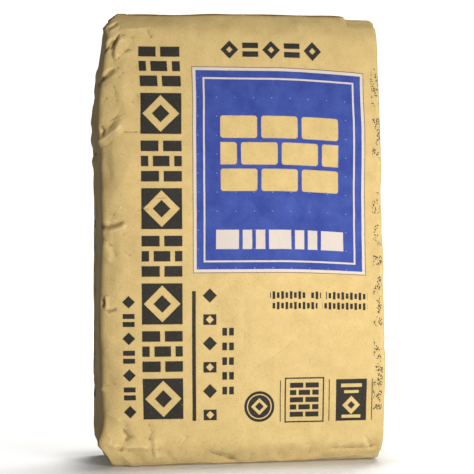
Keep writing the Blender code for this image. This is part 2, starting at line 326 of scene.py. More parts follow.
# Folds seen on the printed face and its edges, in paper mm (U from the middle
# of the face, V up from its foot): points, height, width left, width right.
FOLDS = [
    # the valve side: gathered folds at its upper corner, then its edge downwards
    ([(-139.1, 456.6), (-142.1, 450.8), (-145.7, 444.2), (-148.7, 437.7)], -3.72, 3, 2.5, 1.2, 0.2),
    ([(-142.8, 451.8), (-147.9, 445.4), (-152, 439.4), (-159, 435)], -3.72, 3, 3, 1.2, 0.2),
    ([(-140.9, 454.4), (-145.5, 447), (-149.8, 439.8), (-152.6, 435.6)], 1.55, 2.2, 2.2, 1.2, 0.2),
    ([(-145.7, 454), (-153.1, 447.4), (-166.2, 444.7)], 1.55, 3, 4, 1.2, 0.25),
    ([(-139.2, 457.1), (-140.1, 447.6), (-142, 436.8), (-139.2, 425.8)], 3.31, 28, 3, 1, 0.25),
    ([(-109.6, 464), (-107.5, 458.2), (-102.4, 452.4)], -1.12, 5.6, 4.2, 1.2, 0.2),
    ([(-178.3, 459.9), (-141.3, 459.3), (-122.9, 460.9), (-109.4, 463.1)], 1.24, 5, 9, 1.1, 0.15),
    ([(-158, 456), (-153, 463.5), (-147, 470)], 1.86, 2.5, 2.5, 1.2, 0.2),
    ([(-152.5, 460), (-148.1, 464.7), (-144, 469.3)], -1.86, 2.5, 2.5, 1.2, 0.2),
    ([(-149.4, 457.6), (-145.2, 462), (-139.4, 465.1)], 0.86, 3.6, 3.6, 1.2, 0.2),
    ([(-189.4, 403), (-162.5, 406.6), (-153.3, 409.8), (-147, 414.6), (-137.8, 419.4)], -4.34, 3.5, 5, 1.2, 0.2),
    ([(-132.6, 421.5), (-125.1, 421.1), (-113.3, 420.8)], -0.77, 6.8, 4.2, 1.2, 0.3),
    ([(-128.2, 418.4), (-133.2, 413.6), (-138.2, 407.9), (-143.6, 406.3)], -0.7, 6.3, 5.4, 1.2, 0.3),
    ([(-123.7, 380.4), (-119.3, 387.2), (-112.6, 393.5)], -1.24, 16.8, 9.6, 1, 0.3),
    ([(-152.8, 381.9), (-150.4, 386.6), (-147.1, 390.2)], -0.7, 4.8, 4.8, 1.2, 0.3),
    ([(-148.6, 361.1), (-141.4, 366.4), (-133.2, 370.2), (-125.6, 374.1)], -1.02, 6.8, 6.8, 1.2, 0.3),
    ([(-170.1, 338.7), (-150.7, 344.6), (-146.4, 348.7), (-138.1, 354.8), (-128.8, 362.1)], 2.73, 6.8, 7.5, 1.2, 0.2),
    ([(-132.9, 352.5), (-122.5, 352), (-110.5, 352.5)], -0.78, 3.6, 3, 1.2, 0.3),
    ([(-155.5, 361.3), (-151.8, 354.9), (-153.4, 346.7)], -2.48, 3, 3, 1.2, 0.3),
    ([(-121.5, 338.2), (-124.8, 323.6), (-129.1, 302.6), (-133.1, 277.4)], 1.84, 16, 22, 1, 0.3),
    ([(-140.3, 268), (-135.2, 272.2), (-130, 275.8)], 0.87, 4.5, 7.5, 1.2, 0.3),
    ([(-169.4, 253.6), (-145.7, 253.3), (-136.1, 255.4), (-126.7, 259.6)], -2.73, 5.6, 5.6, 1.2, 0.2),
    ([(-149.7, 247), (-143.2, 249.3), (-132.9, 252.3), (-123.6, 255.4)], 1.82, 5.2, 7.8, 1.2, 0.25),
    ([(-120, 269.8), (-110, 271.1), (-99.5, 272.5)], -0.56, 3, 2.4, 1.2, 0.3),
    ([(-114.3, 276.6), (-104.8, 277.8), (-95.4, 279.2)], -0.56, 3, 2.4, 1.2, 0.3),
    ([(-108, 282), (-93.3, 283.1), (-79.4, 284.1)], -0.56, 3, 2.4, 1.2, 0.3),
    ([(-146.5, 164.4), (-141, 165.5), (-133.9, 168.2)], -1.74, 3.9, 3.9, 1.2, 0.25),
    ([(-146.8, 182.2), (-146, 173.8), (-146.1, 165.5)], 2.17, 5, 2.5, 1.2, 0.25),
    ([(-149.4, 180), (-148.6, 173.7), (-149.5, 167.4)], -1.86, 2.5, 2.5, 1.2, 0.3),
    ([(-178.9, 84.7), (-149.3, 82.9), (-147.5, 76.8)], 1.12, 4.5, 4.5, 1.2, 0.3),
    ([(-160, 244), (-149, 240), (-141, 232), (-134, 219)], -1.13, 7.6, 7.6, 1.3, 0.3),
    ([(-131, 229), (-126, 226), (-119, 221)], -0.63, 5.1, 5.1, 1.3, 0.3),
    ([(-147, 236), (-143, 224), (-145, 212)], 0.88, 6.3, 7.6, 1.3, 0.3),
    ([(-150, 118), (-143, 127), (-139, 140)], 0.88, 9, 9, 1.3, 0.3),
    ([(-152, 84), (-141, 90), (-131, 88)], -0.76, 7.6, 7.6, 1.3, 0.3),
    # lower valve corner
    ([(-150, 62), (-136, 54), (-127, 47)], 1.06, 8.1, 8.1, 1.3, 0.3),
    ([(-130.3, 44.2), (-124.3, 34.4), (-129.0, 24.8), (-134.7, 13.5)], -1.6, 8, 6, 1.0, 0.2),
    ([(-104.0, 52.0), (-98.5, 38.0), (-103.5, 24.5)], -1.3, 5, 13, 1.0, 0.25),
    ([(-146.0, 27.0), (-124.9, 23.4), (-112.2, 24.0), (-97.0, 21.4)], 1.7, 9, 5, 1.0, 0.2),
    ([(-96.0, 34.0), (-95.0, 20.0), (-96.5, 6.0)], 1.4, 12, 4, 1.0, 0.25),
    ([(-122.0, 51.0), (-128.5, 42.0), (-122.5, 33.0), (-127.0, 24.0)], -1.5, 5, 10, 1.0, 0.25),
    ([(-128.0, 22.0), (-120.0, 15.0), (-110.5, 5.0)], -1.0, 9, 9, 1.0, 0.25),
    ([(-73.5, 39.8), (-60.9, 32.2), (-68.7, 22.0), (-75.9, 5.4)], -1.1, 9, 7, 1.0, 0.3),
    ([(-14.0, 34.5), (-5.4, 26.8), (-12.4, 16.7), (-16.8, 1.3)], 0.9, 9, 8, 1.0, 0.3),
    ([(59.8, 25.7), (74.1, 18.4), (73.2, 1.8)], -0.9, 8, 7, 1.0, 0.3),
    ([(92.3, 29.3), (106.2, 19.8), (117.8, 23.0), (136.1, 16.3)], 1.0, 7, 7, 1.0, 0.3),
    ([(-146, 41), (-139, 33), (-141, 21)], 1.06, 5.7, 6.9, 1.3, 0.3),
    ([(-92, 24), (-92, 4)], -0.59, 6.5, 6.5, 1.2, 0.3),
    ([(-80, 77.5), (-73, 71), (-67, 66), (-62, 77)], 0.64, 6.9, 5.7, 1.3, 0.3),
    # printed face and the other edge
    ([(-28, 20), (-25.5, 6)], -0.6, 6.5, 6.5, 1.2, 0.3),
    ([(-1, 178), (0, 150), (-1, 119)], -0.95, 8.3, 10.3, 1.2, 0.35),
    ([(-9, 81), (3, 91), (7, 100), (16, 107), (30, 115), (46, 127), (53, 133), (67, 145), (76, 153)], -1.0, 8.5, 12.0, 1.2, 0.3),
    ([(49, 24), (51, 10)], -0.6, 6.5, 6.5, 1.2, 0.3),
    ([(91.5, 39), (92, 26), (87, 13)], 0.8, 7, 7, 1.1, 0.3),
    ([(128, 36), (137, 22), (148, 8)], -1.1, 9, 8, 1.0, 0.3),
    ([(126, 28), (134, 20), (140, 12), (152, 9)], 1.03, 5.2, 5.2, 1.3, 0.3),
    ([(90, 16.5), (118, 14.5), (149, 15)], -0.77, 4.1, 5.2, 1.3, 0.25),
    ([(66, 478), (64, 464), (62, 451)], 0.91, 8.3, 8.3, 1.3, 0.3),
    ([(65, 294), (56, 282), (50, 266), (36, 247)], -1.25, 15.5, 9.3, 1.2, 0.3),
    ([(72, 286), (69, 268), (58, 246)], 0.52, 9.3, 11.4, 1.2, 0.3),
    ([(-50, 368), (-38, 358), (-24, 349)], -0.65, 14.5, 12.4, 1.2, 0.35),
    ([(-44, 332), (-38, 318)], -0.45, 10.3, 9.3, 1.2, 0.35),
    ([(96, 470), (104, 456), (116, 447)], 0.65, 8.3, 9.3, 1.2, 0.35),
    ([(146, 468), (138, 452), (139, 436)], 0.77, 7.2, 9.3, 1.2, 0.35),
    ([(156, 330), (146, 318), (140, 298)], 0.65, 8.3, 9.3, 1.2, 0.35),
    ([(158, 214), (148, 203), (141, 200)], 0.77, 7.2, 8.3, 1.2, 0.35),
    ([(160, 132), (150, 120), (139, 117)], -0.77, 7.2, 8.3, 1.2, 0.35),
    ([(-60, 474), (-52, 462), (-50, 450)], -0.65, 7.2, 7.2, 1.3, 0.35),
    ([(10, 476), (14, 466), (12, 456)], -0.59, 7.2, 7.2, 1.3, 0.35),
]

EDGE = 152.0             # paper coordinate of the upright edges of the face
MID = 205.0              # the flat tube's own folds, down the middle of each side
BACK_EDGE = 260.0


def side_folds():
    """Folds that any such sack has on its narrow sides: the flat tube's fold,
    and the slanting folds of the block ends."""
    rng = np.random.default_rng(5)
    out = []
    for s in (-1, 1):
        line = [(s * (MID + rng.uniform(-1.2, 1.2)), v) for v in np.linspace(46, 434, 15)]
        out.append((line, 1.25, 8, 8, 1.5, 0.08))
        for v0, v1 in ((1.0, 53.0), (478.0, 428.0)):
            m = 0.5 * (v0 + v1) + rng.uniform(-4, 4)
            out.append(([(s * (EDGE + 3), v0), (s * (EDGE + MID) / 2, m), (s * MID, v1)],
                        -1.5, 7, 7, 1.4, 0.12))
            out.append(([(s * (BACK_EDGE - 3), v0), (s * (BACK_EDGE + MID) / 2, m), (s * MID, v1)],
                        -1.4, 7, 7, 1.4, 0.12))
        # buckles across the sides, where the filling has settled
        for v in (92, 148, 196, 262, 318, 366):
            v = v + rng.uniform(-14, 14)
            a = s * rng.uniform(EDGE + 2, EDGE + 26)
            b = s * rng.uniform(MID + 4, BACK_EDGE - 16)
            tilt = rng.uniform(-22, 22)
            c = (a + b) / 2
            amp = rng.uniform(0.7, 1.2) * (1 if rng.random() < 0.5 else -1)
            out.append(([(a, v - tilt), (c, v + rng.uniform(-5, 5)), (b, v + tilt)],
                        amp, rng.uniform(7, 12), rng.uniform(6, 10), 1.35, 0.3))
    return out


def back_folds():
    """Long shallow folds on the plain back."""
    rng = np.random.default_rng(23)
    out = []
    for _ in range(26):
        u = rng.uniform(272, 548)
        v = rng.uniform(20, 460)
        ang = math.radians(rng.choice([-1, 1]) * rng.uniform(25, 75))
        n = rng.uniform(16, 60)
        du, dv = math.cos(ang) * n / 2, math.sin(ang) * n / 2
        k = rng.uniform(-6, 6)
        near = min(abs(u - 272), abs(548 - u), abs(v), abs(v - 480))
        amp = (0.85 if near < 55 else 0.5) * rng.choice([-1, 1])
        out.append(([(u - du, v - dv), (u + k, v - k), (u + du, v + dv)], amp,
                    rng.uniform(6, 13), rng.uniform(6, 13), 1.3, 0.35))
    return out


def relief(u, v):
    """Height of the paper over the sack's plain form, mm."""
    rng = np.random.default_rng(77)
    w = around(u)
    au = np.abs(w)
    side = smoothstep(140, 160, au) * (1 - smoothstep(256, 276, au))
    back = smoothstep(262, 282, au)
    low = 1 - smoothstep(8, 60, v)
    high = smoothstep(428, 472, v)
    left = smoothstep(104, 138, -w) * (1 - smoothstep(262, 285, -w))
    right = smoothstep(122, 148, w) * (1 - smoothstep(262, 285, w))
    corner = np.clip(left * high + left * low + right * low, 0, 1)

    h = 1.2 * value_noise(u, v, (120.0, 140.0), rng)
    coarse = facets(u, v, 46.0, rng, (0.9, 1.15))
    medium = facets(u, v, 18.0, rng, (1.0, 1.0))
    fine = facets(u, v, 8.0, rng, (0.95, 1.05))
    margin, other = left * (1 - side), right * (1 - side)
    patch = (0.55 + 1.5 * value_noise(u, v, (55.0, 60.0), rng)).clip(0.1, 1.6)
    h += coarse * (0.75 + 0.35 * side + 0.35 * back + 1.1 * margin + 0.25 * low + 0.25 * high)
    h += medium * patch * (0.13 + 0.40 * side + 0.38 * back + 1.35 * margin + 0.35 * other
                           + 0.65 * low + 0.25 * high + 0.30 * corner + 0.55 * left * low
                           + 0.25 * low * smoothstep(60, 130, w) * (1 - side))
    h += fine * patch * (0.02 + 0.12 * side + 0.08 * back + 0.26 * margin + 0.07 * other
                         + 0.18 * low + 0.07 * high + 0.25 * corner)
    # the leaning bands along the ends: crisper and narrower on the valve side
    valve = smoothstep(-40, -100, w) * (1 - smoothstep(152, 170, -w))
    h += valve * np.interp(v, [446, 452, 458, 463, 467.5, 472, 477, 482],
                           [0, 0.7, 1.7, 2.7, 2.6, 2.1, 1.2, 0])
    h += valve * np.interp(v, [-6, 0, 5, 10, 15, 20, 26], [0, 0.8, 1.7, 2.1, 1.4, 0.6, 0])
    # puckers that run up from the lower rim and down from the upper one
    pucker = facets(u, v * 0.28, 10.0, rng)
    h += pucker * (0.30 * (1 - smoothstep(4, 28, v)) + 0.18 * smoothstep(458, 474, v))
    for fold in FOLDS:
        h += crease(w, v, *fold)
    for fold in side_folds():
        h += crease(w, v, *fold)
    u2 = np.where(w < 0, w + PERIM, w)
    for fold in back_folds():
        h += crease(u2, v, *fold)
    h *= end_calm(v)
    # the glued overlap of the tube, down the middle of the back
    h += 0.55 * smoothstep(388, 392, u) * (u < 429.9)
    return h


def end_calm(v):
    """The flat ends are pressed down: little of the relief is left there."""
    return (1 - 0.70 * smoothstep(470, 488, v)) * (1 - 0.75 * smoothstep(2, -14, v))


def build_skin():
    cols = column_positions()
    rows = row_positions()
    n, m = len(cols), len(rows)
    pos = np.zeros((m, n, 3))
    uu = np.zeros((m, n))
    vv = np.zeros((m, n))
    for k, (v, z, in_x, in_y) in enumerate(rows):
        p = outline(z, in_x, in_y)
        closed = np.vstack([p, p[:1]])
        run = np.r_[0, np.cumsum(np.linalg.norm(np.diff(closed, axis=0), axis=1))]
        want = (cols % PERIM) / PERIM * run[-1]
        pos[k, :, 0] = np.interp(want, run, closed[:, 0])
        pos[k, :, 1] = np.interp(want, run, closed[:, 1])
        pos[k, :, 2] = z
        uu[k] = cols
        vv[k] = v
    return cols, rows, pos, uu, vv


def grid_normals(pos):
    du = np.roll(pos, -1, 1) - np.roll(pos, 1, 1)
    dv = np.empty_like(pos)
    dv[1:-1] = pos[2:] - pos[:-2]
    dv[0], dv[-1] = pos[1] - pos[0], pos[-1] - pos[-2]
    nrm = np.cross(du, dv)
    return nrm / np.maximum(np.linalg.norm(nrm, axis=2, keepdims=True), 1e-9)


def soften(pos, times, amount):
    for _ in range(times):
        avg = (np.roll(pos, 1, 1) + np.roll(pos, -1, 1)) / 4
        up = np.vstack([pos[:1], pos[:-1]])
        dn = np.vstack([pos[1:], pos[-1:]])
        avg = avg + (up + dn) / 4
        pos = pos + (avg - pos) * amount
    return pos


def knock_in(pos, side, top, leg_x, leg_z, give=1.0):
    """Moves what lies beyond a slanting line across a corner back onto it."""
    z_end = Z_TOP if top else Z_LOW
    f = form_at(z_end)[0]
    half = f[0] if side < 0 else f[1]
    in_x = (half - side * pos[..., 0]) / leg_x
    in_z = ((z_end - pos[..., 2]) if top else (pos[..., 2] - z_end)) / leg_z
    over = np.maximum(0, 1 - in_x - in_z) * give
    over = np.where(pos[..., 0] * side > 0, over, 0)
    pos[..., 0] -= side * over * leg_x / 2
    pos[..., 2] += (-1 if top else 1) * over * leg_z / 2
    return pos


def end_folds(pos, vv):
    """The block ends: long flaps folded over the short ones, and the step of
    the upper end beyond its cover sheet."""
    x, y, z = pos[..., 0], pos[..., 1], pos[..., 2]
    lip = smoothstep(Z_TOP - 14, Z_TOP - 4, z)
    pos[..., 2] -= STEP_Z * smoothstep(STEP_X - 3.5, STEP_X + 4, x) * lip
    # the filling is a little lower under the valve
    pos[..., 2] -= 2.6 * smoothstep(10, -110, x) * smoothstep(Z_TOP - 70, Z_TOP - 8, z)
    top = vv > Z_TOP
    for side, half in ((-1, 140.4 - SHORT_RIM), (1, 144.2 - SHORT_RIM)):
        inner = (37.5 - np.abs(y)) - (half - side * x)
        pos[..., 2] -= np.where(top, 0.8 * smoothstep(-1.2, 1.2, inner), 0)
    # the two long flaps overlap a little behind the middle
    pos[..., 2] -= np.where(top, 0.5 * smoothstep(-1.0, 1.0, y - 6), 0)
    return pos


def fold_measure(pos):
    """How much the paper is bent: 1 on sharp ridges, -1 in sharp valleys."""
    nrm = grid_normals(pos)
    avg = (np.roll(pos, 1, 1) + np.roll(pos, -1, 1)) / 4
    up = np.vstack([pos[:1], pos[:-1]])
    dn = np.vstack([pos[1:], pos[-1:]])
    lap = ((avg + (up + dn) / 4 - pos) * nrm).sum(2)
    lap[:2], lap[-2:] = 0, 0
    # the form's own roundness at the edges is not a fold
    return -lap


def make_mesh(name, pos, uu, vv, fold):
    m, n = pos.shape[:2]
    co = pos.reshape(-1, 3) * MM
    idx = np.arange(m * n).reshape(m, n)
    a = idx[:-1, :]
    b = np.roll(idx, -1, 1)[:-1, :]
    c = np.roll(idx, -1, 1)[1:, :]
    d = idx[1:, :]
    quads = np.stack([a, b, c, d], -1).reshape(-1, 4)
    un = np.roll(uu, -1, 1).copy()
    un[:, -1] += PERIM
    uq = np.stack([uu[:-1], un[:-1], un[1:], uu[1:]], -1).reshape(-1, 4)
    vq = np.stack([vv[:-1], vv[:-1], vv[1:], vv[1:]], -1).reshape(-1, 4)
    mesh = bpy.data.meshes.new(name)
    nv, nq = len(co), len(quads)
    low, high = idx[0][::-1], idx[-1]
    loops = np.concatenate([quads.ravel(), low, high]).astype(np.int32)
    starts = np.concatenate([np.arange(nq) * 4, [nq * 4, nq * 4 + n]]).astype(np.int32)
    mesh.vertices.add(nv)
    mesh.vertices.foreach_set("co", co.astype(np.float32).ravel())
    mesh.loops.add(len(loops))
    mesh.loops.foreach_set("vertex_index", loops)
    mesh.polygons.add(nq + 2)
    mesh.polygons.foreach_set("loop_start", starts)
    u_all = np.concatenate([uq.ravel(), uu[0][::-1], uu[-1]])
    v_all = np.concatenate([vq.ravel(), vv[0][::-1], vv[-1]])
    uv = mesh.uv_layers.new(name="paper")
    press = mesh.uv_layers.new(name="print")
    mesh.update(calc_edges=True)
    mesh.uv_layers["paper"].uv.foreach_set(
        "vector", (np.stack([u_all, v_all], 1) * MM).astype(np.float32).ravel())
    mesh.uv_layers["print"].uv.foreach_set(
        "vector", (np.stack(print_place(u_all, v_all), 1) * MM).astype(np.float32).ravel())
    att = mesh.attributes.new("fold", 'FLOAT', 'POINT')
    att.data.foreach_set("value", fold.astype(np.float32).ravel())
    mesh.validate()
    mesh.shade_smooth()
    return mesh


def print_place(u, v):
    """Where a point of the paper lies on the printed sheet, mm: the paper has
    crept a little round the sack while it was filled."""
    drift = 0.0152 * (v - 200) + 4.0 * smoothstep(375, 450, v)
    share = np.interp(u, [-200, -90, -53, 130, 200], [1.0, 1.0, 0.37, -0.40, -0.40])
    sag = 5.0 * ((u - 35) / 95).clip(0, 1.25) ** 1.6 * smoothstep(90, 255, v)
    sag = sag * (1 - 0.55 * smoothstep(424, 448, v))
    return u + drift * share, v + sag

# ============================================================== settling the paper
# The tube is a little longer than the form it covers.  A cloth relaxation on
# its own coarse grid (inextensible paper, soft filling under it, stiffness
# against bending) gathers that excess into buckles and folds.
CELL = 4.0


def settle_excess(u, v, rng):
    """Extra length of the paper over its form, by zone: across, and upward."""
    w = around(u)
    au = np.abs(w)
    side = smoothstep(138, 156, au) * (1 - smoothstep(258, 276, au))
    edge = np.exp(-((au - EDGE) / 18.0) ** 2) + np.exp(-((au - BACK_EDGE) / 18.0) ** 2)
    back = smoothstep(262, 282, au)
    low = np.exp(-np.clip(v - 4, 0, None) / 24.0)
    high = np.exp(-np.clip(476 - v, 0, None) / 22.0)
    left = smoothstep(96, 135, -w) * (1 - smoothstep(262, 285, -w))
    front = 1 - smoothstep(140, 170, au)
    across = 0.0040 + 0.005 * side + 0.0035 * back + 0.004 * edge + (0.007 + 0.011 * front) * low + 0.014 * high
    upward = 0.0032 + 0.004 * side + 0.0040 * back + 0.001 * edge + 0.002 * left
    across = across + (low + high) * edge * 0.03
    patch = (0.8 + 1.9 * value_noise(u, v, (95.0, 85.0), rng) + 0.7 * value_noise(u, v, (38.0, 38.0), rng)).clip(0.0, 2.6)
    patch2 = (0.8 + 1.9 * value_noise(u, v, (85.0, 95.0), rng) + 0.7 * value_noise(u, v, (38.0, 38.0), rng)).clip(0.0, 2.6)
    return across * patch, upward * patch2


def settle(rounds=300, bend=0.07, bed=0.0016):
    """Relaxes the excess on a coarse grid.  Returns the grid's coordinates and
    the paper's displacement from the plain form there, mm."""
    rng = np.random.default_rng(41)
    n = int(round(PERIM / CELL / 2)) * 2
    us = -410 + PERIM * np.arange(n) / n
    rows = row_positions(coarse=True)
    m = len(rows)
    base = np.zeros((m, n, 3))
    vs = np.array([r[0] for r in rows])
    for k, (v, z, in_x, in_y) in enumerate(rows):
        p = outline(z, in_x, in_y)
        closed = np.vstack([p, p[:1]])
        run = np.r_[0, np.cumsum(np.linalg.norm(np.diff(closed, axis=0), axis=1))]
        want = (us % PERIM) / PERIM * run[-1]
        base[k, :, 0] = np.interp(want, run, closed[:, 0])
        base[k, :, 1] = np.interp(want, run, closed[:, 1])
        base[k, :, 2] = z
    uu, vv = np.meshgrid(us, vs)
    nrm = grid_normals(base)
    start = 1.3 * facets(uu, vv, 42.0, rng) + 0.6 * facets(uu, vv, 18.0, rng)
    pos = base + nrm * start[..., None]
    ea, eu = settle_excess(uu, vv, rng)
    idx = np.arange(m * n).reshape(m, n)
    right = np.roll(idx, -1, 1)
    groups = []

    def group(a, b, rest):
        a, b = a.ravel(), b.ravel()
        groups.append((a, b, rest.ravel()))

    flat = base.reshape(-1, 3)

    def length(a, b, e):
        return np.linalg.norm(flat[b] - flat[a], axis=-1) * (1 + e)

    for par in (0, 1):
        a, b = idx[:, par::2], right[:, par::2]
        group(a, b, length(a, b, ea[:, par::2]))
    for par in (0, 1):
        a, b = idx[par:-1:2], idx[par + 1::2][: len(idx[par:-1:2])]
        group(a, b, length(a, b, eu[par:-1:2]))
    for par in (0, 1):
        a = idx[par:-1:2]
        b = right[par + 1::2][: len(a)]
        e = (ea + eu)[par:-1:2] / 2
        group(a, b, length(a, b, e))
        a2 = right[par:-1:2]
        b2 = idx[par + 1::2][: len(a2)]
        group(a2, b2, length(a2, b2, e))
    x = pos.reshape(-1, 3).copy()
    hold = np.zeros(m)
    hold[:2], hold[-2:] = 1, 1
    free = (1 - hold)[:, None, None]
    for r in range(rounds):
        for a, b, rest in groups:
            d = x[b] - x[a]
            ln = np.sqrt((d * d).sum(1))
            d *= (0.5 * 0.9 * (ln - rest) / ln)[:, None]
            x[a] += d
            x[b] -= d
        disp = x.reshape(m, n, 3) - base

        def lap(f):
            up = np.concatenate([f[:1], f[:-1]])
            dn = np.concatenate([f[1:], f[-1:]])
            return (np.roll(f, 1, 1) + np.roll(f, -1, 1) + up + dn) / 4 - f
        disp = disp - bend * lap(lap(disp))
        dn_ = (disp * nrm).sum(2)
        want = np.clip(dn_ * (1 - bed), -2.6, 3.2)
        disp = disp + nrm * (want - dn_)[..., None]
        disp = disp * free
        x = (base + disp).reshape(-1, 3)
    return us, vs, disp


def cubic_weights(t):
    return np.stack([-0.5 * t + t**2 - 0.5 * t**3, 1 - 2.5 * t**2 + 1.5 * t**3,
                     0.5 * t + 2 * t**2 - 1.5 * t**3, -0.5 * t**2 + 0.5 * t**3])


def sample_settled(u, v, settled):
    """Displacement of the settled paper at the fine grid's points."""
    us, vs, disp = settled
    n = len(us)
    gu = (around(u[0]) + PERIM / 2) / PERIM * n
    ju = np.floor(gu).astype(int)
    wu = cubic_weights(gu - ju)
    gv = np.interp(v[:, 0], vs, np.arange(len(vs)))
    jv = np.clip(np.floor(gv).astype(int), 0, len(vs) - 2)
    wv = cubic_weights(gv - jv)
    cols_ = sum(wu[k][None, :, None] * disp[:, (ju - 1 + k) % n] for k in range(4))
    out = sum(wv[k][:, None, None] * cols_[np.clip(jv - 1 + k, 0, len(vs) - 1)] for k in range(4))
    return out


# ============================================================== sack skin
def add_piece(name, mesh, mat, body="root"):
    obj = bpy.data.objects.new(name, mesh)
    bpy.context.scene.collection.objects.link(obj)
    mesh.materials.clear()
    mesh.materials.append(mat)
    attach(obj, body)
    return obj


def shape_skin():
    cols, rows, base, uu, vv = build_skin()
    pos = base + sample_settled(uu, vv, settle()) * end_calm(vv)[..., None]
    pos = pos + grid_normals(base) * relief(uu, vv)[..., None]
    pos = knock_in(pos, -1, True, 6.5, 6)
    pos = knock_in(pos, -1, False, 5.5, 12)
    pos = knock_in(pos, 1, False, 2, 3)
    pos = knock_in(pos, 1, True, 1.5, 2)
    # the lower front corner of the valve side stands out like an ear
    ear = np.exp(-((vv - 27) / 12.0) ** 2) * np.exp(-((around(uu) + 154) / 16.0) ** 2)
    pos[..., 0] -= 6.5 * ear
    pos[..., 1] -= 3.0 * ear * (pos[..., 1] < 0)
    pos = end_folds(pos, vv)
    pos = soften(pos, 1, 0.15)
    pos[..., 2] = np.maximum(pos[..., 2], 0.7)
    fold = fold_measure(pos) - 0.75 * fold_measure(base)
    # the fold measure drives the painted shade in the paper's valleys and its paler ridges, partly rubbed and partly a
    # painted highlight; both are weaker on the back, weakest at its foot
    back = smoothstep(240, 275, np.abs(around(uu)))
    fold = fold * (1 - back * (0.35 + 0.35 * (1 - smoothstep(10, 50, vv))))
    return pos, uu, vv, fold


def surface_tree(pos):
    m, n = pos.shape[:2]
    idx = np.arange(m * n).reshape(m, n)
    quads = np.stack([idx[:-1], np.roll(idx, -1, 1)[:-1], np.roll(idx, -1, 1)[1:], idx[1:]], -1)
    faces = quads.reshape(-1, 4).tolist() + [idx[0][::-1].tolist(), idx[-1].tolist()]
    return BVHTree.FromPolygons([tuple(p) for p in pos.reshape(-1, 3)], faces)


def slab_mesh(name, outer, inner, uv):
    """Closed sheet between two grids of points (rows, columns), mm."""
    m, n = outer.shape[:2]
    idx = np.arange(m * n).reshape(m, n)
    k = m * n
    faces = np.stack([idx[:-1, :-1], idx[:-1, 1:], idx[1:, 1:], idx[1:, :-1]], -1).reshape(-1, 4)
    under = faces[:, ::-1] + k
    ring = np.concatenate([idx[0, :-1], idx[:-1, -1], idx[-1, :0:-1], idx[:0:-1, 0]])
    nxt = np.roll(ring, -1)
    walls = np.stack([nxt, ring, ring + k, nxt + k], -1)
    quads = np.concatenate([faces, under, walls])
    co = np.concatenate([outer.reshape(-1, 3), inner.reshape(-1, 3)]) * MM
    mesh = bpy.data.meshes.new(name)
    mesh.from_pydata(co.tolist(), [], quads.tolist())
    layer = mesh.uv_layers.new(name="paper")
    both = np.concatenate([uv.reshape(-1, 2), uv.reshape(-1, 2)]) * MM
    loops = np.empty(len(mesh.loops), dtype=np.int32)
    mesh.loops.foreach_get("vertex_index", loops)
    layer.uv.foreach_set("vector", both[loops].astype(np.float32).ravel())
    mesh.shade_smooth()
    mesh.set_sharp_from_angle(angle=math.radians(50))
    return mesh


def smooth_heights(z, times):
    for _ in range(times):
        p = np.pad(z, 1, mode='edge')
        z = (p[:-2, 1:-1] + p[2:, 1:-1] + p[1:-1, :-2] + p[1:-1, 2:] + 2 * z) / 6
    return z


def cover_sheet(name, tree, x0, x1, half, top, seed):
    """Sheet pasted over a block end: it lies on the folds under it, and its
    cut edges wander and lift a little."""
    rng = np.random.default_rng(seed)
    nx, ny = int((x1 - x0) / 2.2), int(2 * half / 2.2)
    s, t = np.meshgrid(np.linspace(0, 1, nx), np.linspace(-1, 1, ny))

    def wave(a, freq, amp):
        ph = rng.uniform(0, 6.28, 3)
        return amp * (np.sin(a * freq + ph[0]) + 0.6 * np.sin(a * freq * 2.3 + ph[1])
                      + 0.4 * np.sin(a * freq * 4.1 + ph[2])) / 2

    x = x0 + (x1 - x0) * s
    x = x + wave(t, 2.6, 0.7) * (s > 0.5) * s + wave(t, 3.1, 0.5) * (s < 0.5) * (1 - s)
    y = t * (half + wave(s, 7.0, 0.35))
    z = np.zeros_like(x)
    sign = 1 if top else -1
    for i in range(ny):
        for j in range(nx):
            hit = tree.ray_cast(Vector((x[i, j], y[i, j], 240 + sign * 400)), Vector((0, 0, -sign)), 800)
            z[i, j] = hit[0].z if hit[0] is not None else (Z_TOP if top else Z_LOW)
    if top:
        flat = smooth_heights(z, 6)
        lie = np.maximum(flat, z) + 0.30
        lie = smooth_heights(lie, 2)
        lie = np.maximum(lie, z + 0.18)
        edge = np.minimum(np.minimum(s, 1 - s) * (x1 - x0), (1 - np.abs(t)) * half)
        lift = 0.55 * (1 - smoothstep(0, 7, edge)) * (0.5 + 0.5 * np.sin(s * 23 + 1.3 * t + 0.7))
        lie = lie + lift
        outer = np.stack([x, y, lie + 0.42], -1)
        inner = np.stack([x, y, lie], -1)
    else:
        lie = np.minimum(smooth_heights(z, 2), z) - 0.12
        outer = np.stack([x, y, lie], -1)
        inner = np.stack([x, y, np.maximum(lie - 0.42, 0.04)], -1)
    uv = np.stack([x + 900 * (1 if top else 2), y], -1)
    return slab_mesh(name, outer, inner, uv)


